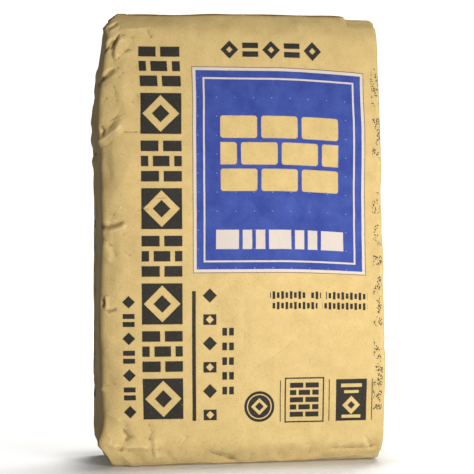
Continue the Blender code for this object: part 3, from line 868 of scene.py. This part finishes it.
def valve_lip(name, tree):
    """The filling sleeve's end: two plies of paper pressed flat, bent down
    over the rim of the upper end."""
    half = 35.5
    reach = np.linspace(0.0, 1.0, 26)
    width = np.linspace(-half, half, 44)
    rng = np.random.default_rng(8)
    rim_x, rim_z = -(140.4 - SHORT_RIM), Z_TOP - SHORT_RIM
    out, inn, uv = [], [], []
    ph = rng.uniform(0, 6.28, 4)
    for a in reach:
        row_o, row_i, row_uv = [], [], []
        for y in width:
            wob = 0.5 * math.sin(y * 0.11 + ph[0]) + 0.3 * math.sin(y * 0.31 + ph[1])
            run = a * (22.0 + wob * 1.6)                 # mm out from under the cover sheet
            flat = -122.6 - rim_x                        # what lies on the top face
            flat = abs(flat)
            if run < flat:
                o = Vector((-122.6 - run, y, 520.0))
                d = Vector((0, 0, -1))
            else:
                ang = min((run - flat) / (SHORT_RIM + 1.2), math.radians(82))
                d = Vector((math.sin(ang), 0, -math.cos(ang)))
                o = Vector((rim_x, y, rim_z)) - d * 60
            hit = tree.ray_cast(o, d, 200)
            p = hit[0] if hit[0] is not None else o + d * (60 - SHORT_RIM)
            curl = 0.55 + 1.5 * smoothstep(0.62, 1.0, np.array(a)) * (0.7 + 0.5 * math.sin(y * 0.09 + ph[2]))
            edge = smoothstep(0.86, 1.0, np.array(abs(y) / half))
            gap = float(curl) + 0.35 * float(edge)
            row_i.append(p - d * gap)
            row_o.append(p - d * (gap + 0.62))
            row_uv.append((2600 + run, y))
        out.append(row_o)
        inn.append(row_i)
        uv.append(row_uv)
    outer = np.array([[tuple(p) for p in r] for r in out])
    inner = np.array([[tuple(p) for p in r] for r in inn])
    # ease the sleeve over the relief under it
    for _ in range(3):
        for g in (outer, inner):
            pad = np.pad(g, ((1, 1), (1, 1), (0, 0)), mode='edge')
            g[1:-1, 1:-1] = ((pad[:-2, 1:-1] + pad[2:, 1:-1] + pad[1:-1, :-2] + pad[1:-1, 2:]
                              + 4 * g) / 8)[1:-1, 1:-1]
    return slab_mesh(name, outer[:, ::-1], inner[:, ::-1], np.array(uv)[:, ::-1])


# ============================================================== shader maths
class Val:
    """A number in a node tree, with ordinary arithmetic."""

    def __init__(self, tree, socket):
        self.tree, self.socket = tree, socket

    @staticmethod
    def calc(tree, name, *args, clamp=False):
        node = tree.nodes.new("ShaderNodeMath")
        node.operation = name
        node.use_clamp = clamp
        for k, x in enumerate(args):
            if isinstance(x, Val):
                tree.links.new(x.socket, node.inputs[k])
            else:
                node.inputs[k].default_value = float(x)
        return Val(tree, node.outputs[0])

    def __add__(self, o):
        return Val.calc(self.tree, 'ADD', self, o)

    __radd__ = __add__

    def __sub__(self, o):
        return Val.calc(self.tree, 'SUBTRACT', self, o)

    def __rsub__(self, o):
        return Val.calc(self.tree, 'SUBTRACT', o, self)

    def __mul__(self, o):
        return Val.calc(self.tree, 'MULTIPLY', self, o)

    __rmul__ = __mul__

    def __neg__(self):
        return self * -1.0

    def abs(self):
        return Val.calc(self.tree, 'ABSOLUTE', self)

    def floor(self):
        return Val.calc(self.tree, 'FLOOR', self)

    def mod(self, m):
        return Val.calc(self.tree, 'FLOORED_MODULO', self, m)

    def min(self, *others):
        out = self
        for o in others:
            out = Val.calc(self.tree, 'MINIMUM', out, o)
        return out

    def max(self, *others):
        out = self
        for o in others:
            out = Val.calc(self.tree, 'MAXIMUM', out, o)
        return out

    def above(self, x):
        return Val.calc(self.tree, 'GREATER_THAN', self, x)

    def length(self, o):
        return Val.calc(self.tree, 'SQRT', self * self + o * o)

    def ramp(self, lo, hi):
        """0 at lo, 1 at hi, straight between, held outside."""
        return Val.calc(self.tree, 'MULTIPLY_ADD', self, 1 / (hi - lo), -lo / (hi - lo), clamp=True)

    def ease(self, lo, hi):
        node = self.tree.nodes.new("ShaderNodeMapRange")
        node.interpolation_type = 'SMOOTHSTEP'
        self.tree.links.new(self.socket, node.inputs["Value"])
        node.inputs["From Min"].default_value = lo
        node.inputs["From Max"].default_value = hi
        return Val(self.tree, node.outputs["Result"])

    def pick(self, a, b):
        """a where self is 0, b where it is 1."""
        node = self.tree.nodes.new("ShaderNodeMix")
        self.tree.links.new(self.socket, node.inputs[0])
        for x, k in ((a, 2), (b, 3)):
            if isinstance(x, Val):
                self.tree.links.new(x.socket, node.inputs[k])
            else:
                node.inputs[k].default_value = float(x)
        return Val(self.tree, node.outputs[0])


def inked(d, edge=0.34):
    """Coverage of a shape from its signed distance in mm."""
    return d.ramp(edge / 2, -edge / 2)


def rect(x, y, cx, cy, hw, hh):
    return ((x - cx).abs() - hw).max((y - cy).abs() - hh)


def lozenge(x, y, cx, cy, r):
    return ((x - cx).abs() + (y - cy).abs()) * 0.7071 - r


def srgb(r, g, b):
    def lin(c):
        c = c / 255
        return c / 12.92 if c <= 0.04045 else ((c + 0.055) / 1.055) ** 2.4
    return (lin(r), lin(g), lin(b), 1.0)


def blend(tree, fac, a, b, mode='MIX'):
    node = tree.nodes.new("ShaderNodeMix")
    node.data_type = 'RGBA'
    node.blend_type = mode
    if isinstance(fac, Val):
        tree.links.new(fac.socket, node.inputs[0])
    else:
        node.inputs[0].default_value = fac
    for x, k in ((a, 6), (b, 7)):
        if isinstance(x, tuple):
            node.inputs[k].default_value = x
        else:
            tree.links.new(x, node.inputs[k])
    return node.outputs[2]


class Coords:
    """Paper coordinates of a sheet, in metres, as stretched vectors."""

    def __init__(self, tree, layer="paper"):
        self.tree = tree
        uv = tree.nodes.new("ShaderNodeUVMap")
        uv.uv_map = layer
        self.vec = uv.outputs[0]

    def mapped(self, sx, sy, turn=0.0):
        node = self.tree.nodes.new("ShaderNodeMapping")
        self.tree.links.new(self.vec, node.inputs["Vector"])
        node.inputs["Rotation"].default_value = (0, 0, turn)
        node.inputs["Scale"].default_value = (sx, sy, 1)
        return node.outputs[0]

    def noise(self, size, detail=2.0, rough=0.5, stretch=(1.0, 1.0), turn=0.0, distortion=0.0):
        """Noise around 0.5 whose features measure about size mm."""
        node = self.tree.nodes.new("ShaderNodeTexNoise")
        node.noise_dimensions = '2D'
        k = 1000.0 / size
        self.tree.links.new(self.mapped(k / stretch[0], k / stretch[1], turn), node.inputs["Vector"])
        node.inputs["Scale"].default_value = 1.0
        node.inputs["Detail"].default_value = detail
        node.inputs["Roughness"].default_value = rough
        node.inputs["Distortion"].default_value = distortion
        return Val(self.tree, node.outputs[0])

    def cells(self, size, feature='F1', stretch=(1.0, 1.0), output="Distance", turn=0.0):
        node = self.tree.nodes.new("ShaderNodeTexVoronoi")
        node.voronoi_dimensions = '2D'
        node.feature = feature
        k = 1000.0 / size
        self.tree.links.new(self.mapped(k / stretch[0], k / stretch[1], turn), node.inputs["Vector"])
        node.inputs["Scale"].default_value = 1.0
        return Val(self.tree, node.outputs[output])


def new_material(name):
    mat = bpy.data.materials.new(name)
    mat.use_nodes = True
    tree = mat.node_tree
    return mat, tree, tree.nodes["Principled BSDF"]


def kraft_colour(tree, co, light=(205, 170, 112), dark=(176, 140, 84)):
    """Unbleached sack paper: fibres, cloudy formation and dark specks."""
    cloud = co.noise(16, 3, 0.55)
    fibre = co.noise(0.9, 2, 0.6, (0.5, 3.2), 0.12)
    cross = co.noise(1.1, 2, 0.6, (3.0, 0.5), -0.2)
    fine = co.noise(0.5, 1, 0.5)
    tone = (cloud - 0.5) * 0.75 + (fibre - 0.5) * 0.8 + (cross - 0.5) * 0.55 + (fine - 0.5) * 0.3 + 0.5
    base = blend(tree, tone.ramp(0.0, 1.0), srgb(*dark), srgb(*light))
    # shives: small darker flecks lying every way
    fleck = co.cells(5.5, 'F1', (0.55, 1.6), turn=0.5).ramp(0.16, 0.07) * co.noise(13, 1).above(0.52)
    fleck2 = co.cells(4.2, 'F1', (1.7, 0.5), turn=-0.3).ramp(0.14, 0.06) * co.noise(9, 1).above(0.55)
    return blend(tree, fleck.max(fleck2) * 0.22, base, srgb(128, 92, 50))


def paper_bump(tree, co, strength=1.0):
    """Height in mm of what is finer than the mesh: fibres, cockle and the
    hair-fine crazing of handled paper."""
    fibre = co.noise(0.8, 2, 0.6, (0.6, 2.4)) * 0.035
    cockle = co.noise(7, 4, 0.62) * 0.28
    mask = co.noise(34, 2, 0.5).ease(0.44, 0.62)
    craze = co.cells(9, 'DISTANCE_TO_EDGE', output="Distance").ramp(0.0, 0.09)
    craze2 = co.cells(4.5, 'DISTANCE_TO_EDGE', output="Distance", turn=0.6).ramp(0.0, 0.10)
    crinkle = (craze * 0.16 + craze2 * 0.08) * mask
    return (fibre + cockle + crinkle) * strength


def bump_normal(tree, height, shader, strength=1.0):
    node = tree.nodes.new("ShaderNodeBump")
    node.inputs["Strength"].default_value = strength
    node.inputs["Distance"].default_value = 0.001
    tree.links.new(height.socket, node.inputs["Height"])
    tree.links.new(node.outputs[0], shader.inputs["Normal"])


def plain_kraft(name, light, dark, strength=1.0):
    mat, tree, shader = new_material(name)
    co = Coords(tree)
    col = kraft_colour(tree, co, light, dark)
    stain = co.noise(45, 3, 0.6).ease(0.45, 0.75)
    col = blend(tree, stain * 0.22, col, srgb(150, 118, 72))
    tree.links.new(col, shader.inputs["Base Color"])
    rough = (co.noise(3, 2) - 0.5) * 0.16 + 0.80
    tree.links.new(rough.socket, shader.inputs["Roughness"])
    shader.inputs["Specular IOR Level"].default_value = 0.32
    bump_normal(tree, paper_bump(tree, co, strength), shader)
    return mat


def print_shapes(p, q, wobble):
    """Signed distances in mm of the printed shapes on the sheet's coordinates."""
    shapes = {}
    # --- bold column of tiles: lozenge tiles and brick tiles by turns
    ax = (p + 88.5).abs()
    step = (q - 48.0) * (1 / 49.9)
    ay = ((q - 48.0).mod(49.9) - 24.95).abs()
    outer = (ax - 21.5).max(ay - 21.5)
    diag = (ax + ay) * 0.7071
    tile_a = outer.max(13.6 - diag).min(diag - 6.6)
    carve = ((ay - 7.9).abs() - 2.4).min(((ax - 11.2).abs() - 2.4).max(ay - 7.9),
                                         (ax - 2.4).max(7.9 - ay))
    tile_b = outer.max(-carve)
    black = step.floor().mod(2.0).pick(tile_a, tile_b).max((q - 247.6).abs() - 199.4)
    # --- narrow column on its left: lozenges and short bars
    ax = (p + 123.7).abs()
    k = (q - 50.0) * (1 / 19.2)
    ay = ((q - 50.0).mod(19.2) - 9.6).abs()
    small_a = (ax + ay) * 0.7071 - 4.7
    small_b = (ax - 6.2).max(ay - 6.8).max(1.5 - ay)
    black = black.min(k.floor().mod(2.0).pick(small_a, small_b).max((q - 117.2).abs() - 67.2))
    # --- rule and two columns of small marks to its right
    black = black.min(rect(p, q, -55.0, 117.5, 2.05, 68.5))
    ax = (p + 38.0).abs()
    k = (q - 42.5) * (1 / 25.2)
    ay = ((q - 42.5).mod(25.2) - 12.6).abs()
    mark_a = (ax - 7.0).max(ay - 5.6).max(3.0 - (ax + ay) * 0.7071)
    mark_b = (ax + ay) * 0.7071 - 5.4
    black = black.min(k.floor().mod(2.0).pick(mark_a, mark_b).max((q - 118.1).abs() - 75.0))
    ax = (p + 18.6).abs()
    ay = ((q - 72.7).mod(15.6) - 7.8).abs()
    black = black.min((ax - 6.2).max(ay - 4.1).max(1.1 - ax).max((q - 111.7).abs() - 38.5))
    # --- a column down each narrow side, towards the back
    ax = (p.abs() - 236.0).abs()
    k = (q - 62.0) * (1 / 31.0)
    ay = ((q - 62.0).mod(31.0) - 15.5).abs()
    side_a = ((ax + ay) * 0.7071 - 9.6).max(3.4 - (ax + ay) * 0.7071)
    side_b = (ax - 13.0).max(ay - 11.0).max(2.2 - ay)
    black = black.min(k.floor().mod(2.0).pick(side_b, side_a).max((q - 247.9).abs() - 185.9))
    # --- row of lozenges and bars over the panel
    ax = ((p + 26.2).mod(22.6) - 11.3).abs()
    k = (p + 26.2) * (1 / 22.6)
    ay = (q - 440.8).abs()
    row_a = ((ax + ay) * 0.7071 - 6.9).max(2.4 - (ax + ay) * 0.7071)
    row_b = (ax - 8.6).max(ay - 7.6).max(1.7 - ay)
    black = black.min(k.floor().mod(2.0).pick(row_a, row_b).max((p - 30.3).abs() - 56.4))
    # --- two lines of small ticks under the panel
    ax = (p.mod(4.7) - 2.35).abs() - 1.45
    tall = (p * (1 / 4.7)).floor().mod(2.0)
    line1 = ax.max((q - 181.0).abs() - tall.pick(4.1, 3.0))
    gaps1 = ((p - 68.6).abs() - 2.6).min((p - 84.7).abs() - 2.6)
    line1 = line1.max((p - 79.6).abs() - 53.2).max(-gaps1)
    line2 = ax.max((q - 169.8).abs() - tall.pick(3.0, 3.9))
    line2 = line2.max((p - 80.6).abs() - 52.2).max(2.6 - (p - 80.8).abs())
    black = black.min(line1, line2)
    # --- foot of the face: disc, rules, outlined tablet, dark tablet
    r = (p - 15.2).length(q - 62.8)
    disc = (r - 16.4).max(0.6 - (r - 12.9).abs()).max(6.4 - lozenge(p, q, 15.2, 62.8, 0.0)).min(
        lozenge(p, q, 15.2, 62.8, 3.4))
    black = black.min(disc)
    rules = ((p - 38.0).abs() - 0.5).min((p - 91.0).abs() - 0.5, (p - 138.4).abs() - 0.5)
    black = black.min(rules.max((q - 68.0).abs() - 22.3))
    tablet = rect(p, q, 64.0, 68.9, 20.6, 23.4)
    inner = (tablet.abs() - 0.75)
    ax = (p - 64.0).abs()
    ay = ((q - 49.6).mod(7.8) - 3.9).abs()
    cut = ((q - 49.6) * (1 / 7.8)).floor().mod(2.0).pick(1.2 - ax, 1.2 - (ax - 7.4).abs())
    bars = (ax - 15.6).max(ay - 2.75, cut).max((q - 69.1).abs() - 19.4)
    black = black.min(inner, bars)
    dark = rect(p, q, 115.4, 68.0, 17.0, 22.4)
    black = black.min(dark)
    light = rect(p, q, 115.4, 83.6, 11.5, 1.9).min(
        rect(p, q, 115.4, 76.8, 8.0, 1.5), lozenge(p, q, 115.4, 62.4, 7.0).max(
            3.0 - lozenge(p, q, 115.4, 62.4, 0.0)), rect(p, q, 115.4, 50.3, 10.5, 1.7))
    shapes["black"] = black.max(-light)
    shapes["light_on_dark"] = light
    # --- panel: blue field with a thin inner frame, a bonded brick pattern and
    #     a row of blocks at its foot
    field = rect(p, q, 37.75, 313.5, 89.75, 105.0)
    shapes["field"] = field
    by = q - 331.0
    course = ((by + 42.0) * (1 / 28.0)).floor()
    ly = ((by + 42.0).mod(28.0) - 14.0).abs() - 8.9
    odd = course.mod(2.0)
    lx = ((p - 37.75 + 66.0 + odd * 22.0).mod(44.0) - 22.0).abs() - 16.9
    brick = lx.max(0.0).length(ly.max(0.0)) - 2.9
    hollow = brick.abs() * -1.0 + 2.0
    brick = brick.max((brick + 5.2) * -1.0 * odd + (odd - 1.0) * 50.0)
    brick = brick.max((p - 37.75).abs() - 63.9).max(by.abs() - 42.0)
    shapes["unprinted"] = brick
    ring = (field - 1.5).abs() - 1.5
    frame = (field + 8.4).abs() - 0.95
    lx = ((p + 33.25).mod(28.4) - 14.2).abs()
    pair = ((p + 33.25) * (1 / 28.4)).floor().mod(2.0)
    block = (lx - 12.2).max((q - 240.0).abs() - 10.2).max((p - 37.75).abs() - 70.9)
    block = block.max(pair.pick(-50.0, (lx * -1.0) + 2.0))
    shapes["cream"] = ring.min(frame, block)
    shapes["outline"] = (field - 3.55).abs() - 0.45
    return shapes


def sack_material():
    mat, tree, shader = new_material("sack_kraft_printed")
    co = Coords(tree, "paper")
    base = kraft_colour(tree, co, (220, 193, 134), (193, 165, 106))
    att = tree.nodes.new("ShaderNodeAttribute")
    att.attribute_type = 'GEOMETRY'
    att.attribute_name = "fold"
    fold = Val(tree, att.outputs["Fac"])
    # paper colour from the fold measure: paler on the ridges, partly paper rubbed pale and partly a painted highlight;
    # darker in the valleys, a painted shade
    rub = co.noise(2.2, 3, 0.6)
    ridge_rub_and_highlight = (fold * (rub * 0.9 + 0.55)).ease(0.04, 0.20)
    valley_painted_shade = (fold * -1.0).ease(0.04, 0.20)
    base = blend(tree, ridge_rub_and_highlight * 0.42, base, srgb(240, 216, 164))
    base = blend(tree, valley_painted_shade * 0.62, base, srgb(128, 96, 54))
    smudge = co.noise(60, 4, 0.6).ease(0.56, 0.78)
    base = blend(tree, smudge * 0.14, base, srgb(150, 130, 92))

    # printed shapes, whose edges wander with the paper's fibres
    sheet = Coords(tree, "print")
    sep = tree.nodes.new("ShaderNodeSeparateXYZ")
    tree.links.new(sheet.vec, sep.inputs[0])
    wob = co.noise(1.3, 2, 0.6)
    p = Val(tree, sep.outputs[0]) * 1000.0 + (wob - 0.5) * 0.5
    q = Val(tree, sep.outputs[1]) * 1000.0 + (wob - 0.5) * 0.4
    s = print_shapes(p, q, wob)
    solid = co.noise(1.6, 3, 0.65)
    worn = ridge_rub_and_highlight * 0.42 + solid.ease(0.66, 0.80) * 0.35
    hold = worn * -1.0 + 1.0
    field = inked(s["field"].max(s["unprinted"] * -1.0)) * hold
    cloud = co.noise(22, 3, 0.6)
    blue = blend(tree, cloud.ramp(0.3, 0.7), srgb(43, 61, 142), srgb(57, 77, 156))
    col = blend(tree, field, base, blue)
    col = blend(tree, inked(s["cream"]) * 0.93, col, srgb(212, 200, 188))
    col = blend(tree, inked(s["outline"]) * hold * 0.75, col, srgb(72, 76, 92))
    black = inked(s["black"]) * hold
    col = blend(tree, black * 0.98, col, srgb(24, 24, 26))
    # fine air holes through the plies, and clusters of small dark dots down one margin
    gx, gy = p.mod(20.0) - 10.0, q.mod(20.0) - 10.0
    hole = gx.length(gy).ramp(0.62, 0.30)
    col = blend(tree, hole * field * 0.65, col, srgb(196, 196, 206))
    col = blend(tree, hole * (field * -1.0 + 1.0) * 0.5, col, srgb(120, 92, 56))
    dot = sheet.cells(2.35).ramp(0.40, 0.27).max(sheet.cells(3.3, turn=0.7).ramp(0.24, 0.15))
    clump = sheet.noise(7.5, 2, 0.6, (0.8, 1.4)).ease(0.50, 0.54)
    group = tree.nodes.new("ShaderNodeTexWhiteNoise")
    group.noise_dimensions = '1D'
    tree.links.new((q * (1 / 11.4)).floor().socket, group.inputs["W"])
    there = Val(tree, group.outputs["Value"]).above(0.30)
    band = ((p - 144.5).abs() * -1.0).above(-4.9) * ((q - 243.0).abs() * -1.0).above(-186.0)
    margin_dots = dot * clump * there * band
    col = blend(tree, margin_dots * 0.93, col, srgb(44, 42, 40))

    tree.links.new(col, shader.inputs["Base Color"])
    ink = field.max(black)
    rough = (co.noise(3, 2) - 0.5) * 0.16 + 0.80 - ink * 0.12
    tree.links.new(rough.socket, shader.inputs["Roughness"])
    shader.inputs["Specular IOR Level"].default_value = 0.18
    bump_normal(tree, paper_bump(tree, co) - ink * 0.01, shader)
    return mat


skin, uu, vv, fold = shape_skin()
print("fold percentiles", np.round(np.percentile(fold, [1, 5, 25, 50, 75, 95, 99]), 4))
sack = add_piece("sack_skin", make_mesh("sack_skin", skin, uu, vv, fold), sack_material())
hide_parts("filled_sack")

tree = surface_tree(skin)
cover_kraft = plain_kraft("cover_sheet_kraft", (219, 190, 134), (192, 161, 104), 0.8)
top_cover = add_piece("top_cover_sheet", cover_sheet("top_cover_sheet", tree, -122.0, 112.5, 39.8, True, 31),
                      cover_kraft)
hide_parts("top_cover_patch")
low_cover = add_piece("bottom_cover_sheet", cover_sheet("bottom_cover_sheet", tree, -121.0, 133.0, 48.0, False, 32),
                      cover_kraft)
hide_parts("bottom_cover_patch")
lip = add_piece("valve_lip", valve_lip("valve_lip", tree), plain_kraft("valve_kraft", (206, 172, 118), (172, 138, 86)))
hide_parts("valve_sleeve")


# ============================================================== floor, light
def make_stage():
    mesh = bpy.data.meshes.new("floor")
    s = 30.0
    mesh.from_pydata([(-s, -s, 0), (s, -s, 0), (s, s, 0), (-s, s, 0)], [], [(0, 1, 2, 3)])
    floor = bpy.data.objects.new("floor", mesh)
    bpy.context.scene.collection.objects.link(floor)
    ground = mesh.uv_layers.new(name="ground")
    ground.uv.foreach_set("vector", [-s, -s, s, -s, s, s, -s, s])
    mat, nodes, shader = new_material("floor_pale")
    shader.inputs["Base Color"].default_value = (0.82, 0.82, 0.81, 1)
    shader.inputs["Roughness"].default_value = 0.9
    sep = nodes.nodes.new("ShaderNodeSeparateXYZ")
    nodes.links.new(Coords(nodes, "ground").vec, sep.inputs[0])
    # the floor glows, faintly next to the sack's footprint and more strongly further out: a painted soft shadow round
    # its foot
    gx = (Val(nodes, sep.outputs[0]).abs() - 0.138).max(0.0)
    gy = (Val(nodes, sep.outputs[1]).abs() - 0.050).max(0.0)
    away = gx.length(gy)
    floor_glow_with_painted_shade = away.ease(0.0, 0.07) * 0.34 + away.ease(0.05, 0.9) * 0.48 + away.ease(1.3, 3.9) * 0.25 + 0.03
    shader.inputs["Emission Color"].default_value = (1, 1, 1, 1)
    nodes.links.new(floor_glow_with_painted_shade.socket, shader.inputs["Emission Strength"])
    mesh.materials.append(mat)
    floor.visible_diffuse = False
    wall = bpy.data.meshes.new("backdrop")
    n = 72
    ring = [(12 * math.cos(math.tau * k / n), 12 * math.sin(math.tau * k / n)) for k in range(n)]
    wall.from_pydata([(x, y, -0.2) for x, y in ring] + [(x, y, 16) for x, y in ring], [],
                     [(k, (k + 1) % n, n + (k + 1) % n, n + k) for k in range(n)])
    backdrop = bpy.data.objects.new("backdrop", wall)
    bpy.context.scene.collection.objects.link(backdrop)
    mat, nodes, shader = new_material("backdrop_white")
    shader.inputs["Base Color"].default_value = (0.9, 0.9, 0.9, 1)
    shader.inputs["Emission Color"].default_value = (1, 1, 1, 1)
    shader.inputs["Emission Strength"].default_value = 1.0
    wall.materials.append(mat)
    backdrop.visible_diffuse = False
    backdrop.visible_glossy = False
    backdrop.visible_shadow = False

    world = bpy.data.worlds.new("studio")
    bpy.context.scene.world = world
    world.use_nodes = True
    bg = world.node_tree.nodes["Background"]
    bg.inputs["Color"].default_value = (1, 1, 1, 1)
    bg.inputs["Strength"].default_value = 0.138

    def area(name, az, el, dist, size, power, color=(1, 1, 1), aim=(0, 0, 0.24)):
        light = bpy.data.lights.new(name, 'AREA')
        light.shape = 'RECTANGLE'
        light.size, light.size_y = size
        light.energy = power
        light.color = color
        obj = bpy.data.objects.new(name, light)
        bpy.context.scene.collection.objects.link(obj)
        a, e = math.radians(az), math.radians(el)
        aim = Vector(aim)
        pos = aim + dist * Vector((math.sin(a) * math.cos(e), -math.cos(a) * math.cos(e), math.sin(e)))
        obj.location = pos
        obj.rotation_euler = (aim - pos).to_track_quat('-Z', 'Y').to_euler()
        return obj

    key = area("key", 22, 1, 1.35, (0.42, 0.42), 3.93, (1.0, 0.985, 0.945), (0.05, -0.06, 0.18))
    key.data.spread = math.radians(70)
    area("rear", 150, 42, 2.4, (1.8, 1.2), 68, aim=(0.1, 0.3, 0.15))
    bpy.context.scene.view_settings.view_transform = 'Standard'
    bpy.context.scene.view_settings.look = 'None'


make_stage()
